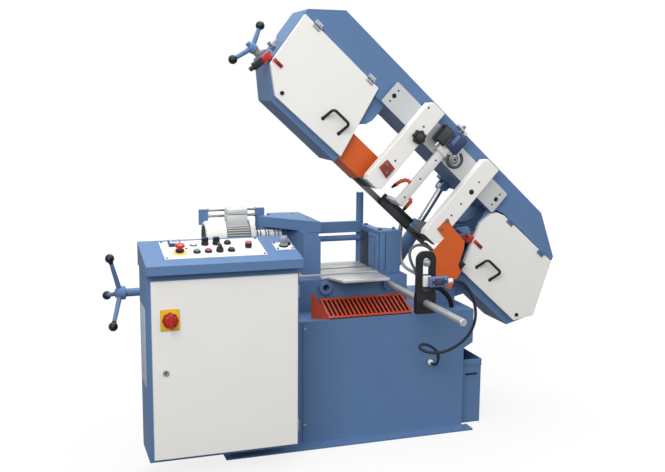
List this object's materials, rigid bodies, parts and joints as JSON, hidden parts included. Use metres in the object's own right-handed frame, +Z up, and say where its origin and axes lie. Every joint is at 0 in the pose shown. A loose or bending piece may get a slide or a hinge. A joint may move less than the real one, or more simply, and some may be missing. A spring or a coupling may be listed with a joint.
{
  "type": "metal cutting band saw",
  "caption": "Floor-standing metal cutting band saw with a raised swinging bow, screw vise, hydraulic pack, length stop and a control cabinet with sloping console.",
  "frame": {"origin": "on the floor, in the middle of the four anchor holes", "axes": "+X to the right along the vise, +Y to the back of the machine, +Z up"},
  "size_m": [2.1104, 1.223, 1.8964],
  "materials": {
    "blue_paint": "satin enamel",
    "white_paint": "satin enamel",
    "orange_paint": "powder coat",
    "black_steel": "blackened",
    "bright_steel": "ground",
    "chrome_rod": "polished",
    "cast_aluminium": "cast",
    "black_plastic": "moulded",
    "grey_plastic": "moulded",
    "red_plastic": "moulded",
    "orange_plastic": "moulded",
    "yellow_plastic": "moulded",
    "cable_jacket": "matt"
  },
  "bodies": {
    "base": {"base_frame": "blue_paint", "vise_bed": "blue_paint", "table_plates": "bright_steel", "fixed_jaw": "blue_paint", "rear_guides": "blue_paint", "chip_grille": "orange_paint", "cabinet": "blue_paint", "console_plates": "white_paint", "panel_fittings": "black_plastic", "pack_frame": "blue_paint", "pack_motor": "cast_aluminium", "motor_cowl": "cast_aluminium", "stop_rod": "chrome_rod", "cable_gland": "black_plastic", "switch_cable": "cable_jacket", "pivot_stand": "blue_paint", "pivot_shaft": "bright_steel"},
    "door": {"cabinet_door": "white_paint", "switch_plate": "yellow_plastic"},
    "main_switch": {"switch_knob": "red_plastic"},
    "latch": {"door_latch": "black_plastic"},
    "estop": {"estop_button": "red_plastic"},
    "start": {"start_button": "grey_plastic"},
    "stop": {"stop_button": "red_plastic"},
    "jog": {"jog_button": "black_plastic"},
    "coolant": {"coolant_button": "black_plastic"},
    "selector_1": {"selector_left": "black_plastic"},
    "selector_2": {"selector_right": "black_plastic"},
    "lever": {"lever_selector": "black_plastic"},
    "speed": {"speed_knob": "black_plastic"},
    "flow": {"flow_knob": "grey_plastic"},
    "vise_drive": {"vise_handwheel": "blue_paint", "vise_screw": "bright_steel"},
    "jaw": {"moving_jaw": "blue_paint"},
    "length_stop": {"stop_arm": "black_steel", "stop_switch": "grey_plastic"},
    "bin": {"chip_bin": "blue_paint"},
    "bow": {"bow_frame": "blue_paint", "door_hinges": "bright_steel", "limit_switches": "grey_plastic", "band_blade": "bright_steel", "drive_unit": "blue_paint", "guide_rail": "bright_steel", "guide_arm_right": "white_paint", "right_guard": "orange_paint"},
    "left_cover": {"idler_door": "white_paint", "idler_fittings": "black_plastic"},
    "right_cover": {"drive_door": "white_paint", "drive_fittings": "black_plastic"},
    "tension": {"tension_handwheel": "blue_paint"},
    "carriage": {"idler_carriage": "bright_steel"},
    "left_wheel": {"idler_wheel": "cast_aluminium"},
    "right_wheel": {"drive_wheel": "cast_aluminium"},
    "guide": {"guide_arm_left": "white_paint", "left_guard": "orange_paint"},
    "clamp_knob": {"guide_knob": "black_plastic"},
    "sensor": {"sensor_arm": "white_paint", "coolant_nozzles": "orange_plastic"},
    "cylinder": {"lift_barrel": "blue_paint"},
    "rod": {"lift_rod": "chrome_rod"}
  },
  "joints": [
    {"name": "cabinet_door", "type": "hinge", "parent": "base", "child": "door", "pos_m": [-0.3117, -0.496, 0.46], "axis": [0, 0, 1], "range_deg": [0, 110]},
    {"name": "main_switch", "type": "hinge", "parent": "door", "child": "main_switch", "pos_m": [-0.834, -0.52, 0.673], "axis": [0, -1, 0], "range_deg": [0, 90]},
    {"name": "door_latch", "type": "hinge", "parent": "door", "child": "latch", "pos_m": [-0.854, -0.515, 0.462], "axis": [0, -1, 0], "range_deg": [0, 90]},
    {"name": "estop_press", "type": "slide", "parent": "base", "child": "estop", "axis": [0, 0.2141, -0.9768], "range_m": [0, 0.004]},
    {"name": "start_press", "type": "slide", "parent": "base", "child": "start", "axis": [0, 0.2141, -0.9768], "range_m": [0, 0.004], "stiffness_N_per_m": 500, "springref_m": -0.002},
    {"name": "stop_press", "type": "slide", "parent": "base", "child": "stop", "axis": [0, 0.2141, -0.9768], "range_m": [0, 0.004], "stiffness_N_per_m": 500, "springref_m": -0.002},
    {"name": "jog_press", "type": "slide", "parent": "base", "child": "jog", "axis": [0, 0.2141, -0.9768], "range_m": [0, 0.004], "stiffness_N_per_m": 500, "springref_m": -0.002},
    {"name": "coolant_press", "type": "slide", "parent": "base", "child": "coolant", "axis": [0, 0.2141, -0.9768], "range_m": [0, 0.004], "stiffness_N_per_m": 500, "springref_m": -0.002},
    {"name": "selector_1_turn", "type": "hinge", "parent": "base", "child": "selector_1", "pos_m": [-0.664, -0.3505, 0.93254], "axis": [0, -0.2141, 0.9768], "range_deg": [-45, 45]},
    {"name": "selector_2_turn", "type": "hinge", "parent": "base", "child": "selector_2", "pos_m": [-0.618, -0.3505, 0.93254], "axis": [0, -0.2141, 0.9768], "range_deg": [-45, 45]},
    {"name": "lever_turn", "type": "hinge", "parent": "base", "child": "lever", "pos_m": [-0.618, -0.42669, 0.91584], "axis": [0, -0.2141, 0.9768], "range_deg": [-45, 45]},
    {"name": "speed_turn", "type": "hinge", "parent": "base", "child": "speed", "pos_m": [-0.497, -0.40618, 0.92034], "axis": [0, -0.2141, 0.9768], "range_deg": [-135, 135]},
    {"name": "flow_turn", "type": "hinge", "parent": "base", "child": "flow", "pos_m": [-0.349, -0.40325, 0.92098], "axis": [0, -0.2141, 0.9768], "range_deg": [-150, 150]},
    {"name": "vise_wheel", "type": "hinge", "parent": "base", "child": "vise_drive", "pos_m": [-0.963, 0.07, 0.664], "axis": [1, 0, 0], "range_deg": [-720, 9720]},
    {"name": "jaw_slide", "type": "slide", "parent": "base", "child": "jaw", "axis": [1, 0, 0], "range_m": [-0.0205, 0.2705]},
    {"name": "stop_slide", "type": "slide", "parent": "base", "child": "length_stop", "axis": [0, 1, 0], "range_m": [-0.3, 0.1]},
    {"name": "bin_slide", "type": "slide", "parent": "base", "child": "bin", "axis": [1, 0, 0], "range_m": [0, 0.3]},
    {"name": "bow_swing", "type": "hinge", "parent": "base", "child": "bow", "pos_m": [0.525, -0.018, 0.61], "axis": [0, 1, 0], "range_deg": [-42.2, 3]},
    {"name": "idler_cover", "type": "hinge", "parent": "bow", "child": "left_cover", "pos_m": [-0.00626, -0.185, 1.71468], "axis": [-0.7402, 0, 0.6724], "range_deg": [0, 100]},
    {"name": "drive_cover", "type": "hinge", "parent": "bow", "child": "right_cover", "pos_m": [0.90865, -0.185, 0.88363], "axis": [-0.7402, 0, 0.6724], "range_deg": [0, 100]},
    {"name": "tension_wheel", "type": "hinge", "parent": "bow", "child": "tension", "pos_m": [-0.37369, 0.01, 1.73703], "axis": [0.7402, 0, -0.6724], "range_deg": [-2, 1202]},
    {"name": "carriage_slide", "type": "slide", "parent": "bow", "child": "carriage", "axis": [0.7402, 0, -0.6724], "range_m": [0, 0.01]},
    {"name": "drive_wheel_spin", "type": "hinge", "parent": "bow", "child": "right_wheel", "pos_m": [0.85895, -0.065, 0.69506], "axis": [0, 1, 0], "continuous": true},
    {"name": "idler_wheel_spin", "type": "hinge", "parent": "carriage", "child": "left_wheel", "pos_m": [-0.12924, -0.065, 1.59267], "axis": [0, 1, 0], "continuous": true},
    {"name": "guide_slide", "type": "slide", "parent": "bow", "child": "guide", "axis": [0.7402, 0, -0.6724], "range_m": [-0.1, 0.035]},
    {"name": "guide_knob", "type": "hinge", "parent": "guide", "child": "clamp_knob", "pos_m": [0.31966, -0.245, 1.35514], "axis": [0, -1, 0], "range_deg": [-180, 180]},
    {"name": "sensor_slide", "type": "slide", "parent": "bow", "child": "sensor", "axis": [0.6724, 0, 0.7402], "range_m": [0, 0.02]},
    {"name": "cylinder_foot", "type": "hinge", "parent": "base", "child": "cylinder", "pos_m": [0.345, 0.12, 0.69], "axis": [0, 1, 0], "range_deg": [-45.25, 3.31]},
    {"name": "rod_eye", "type": "hinge", "parent": "bow", "child": "rod", "pos_m": [0.6138, 0.12, 1.08999], "axis": [0, 1, 0], "range_deg": [-3.05, 0.31]}
  ],
  "couplings": [
    {"joint": "jaw_slide", "follows": "vise_wheel", "m_per_rad": 0.0015915},
    {"joint": "tension_wheel", "follows": "carriage_slide", "rad_per_m": 2094.4},
    {"joint": "idler_wheel_spin", "follows": "drive_wheel_spin", "ratio": 1},
    {"joint": "cylinder_foot", "follows": "bow_swing", "ratio": 1.07},
    {"joint": "rod_eye", "follows": "bow_swing", "ratio": 0.07}
  ]
}
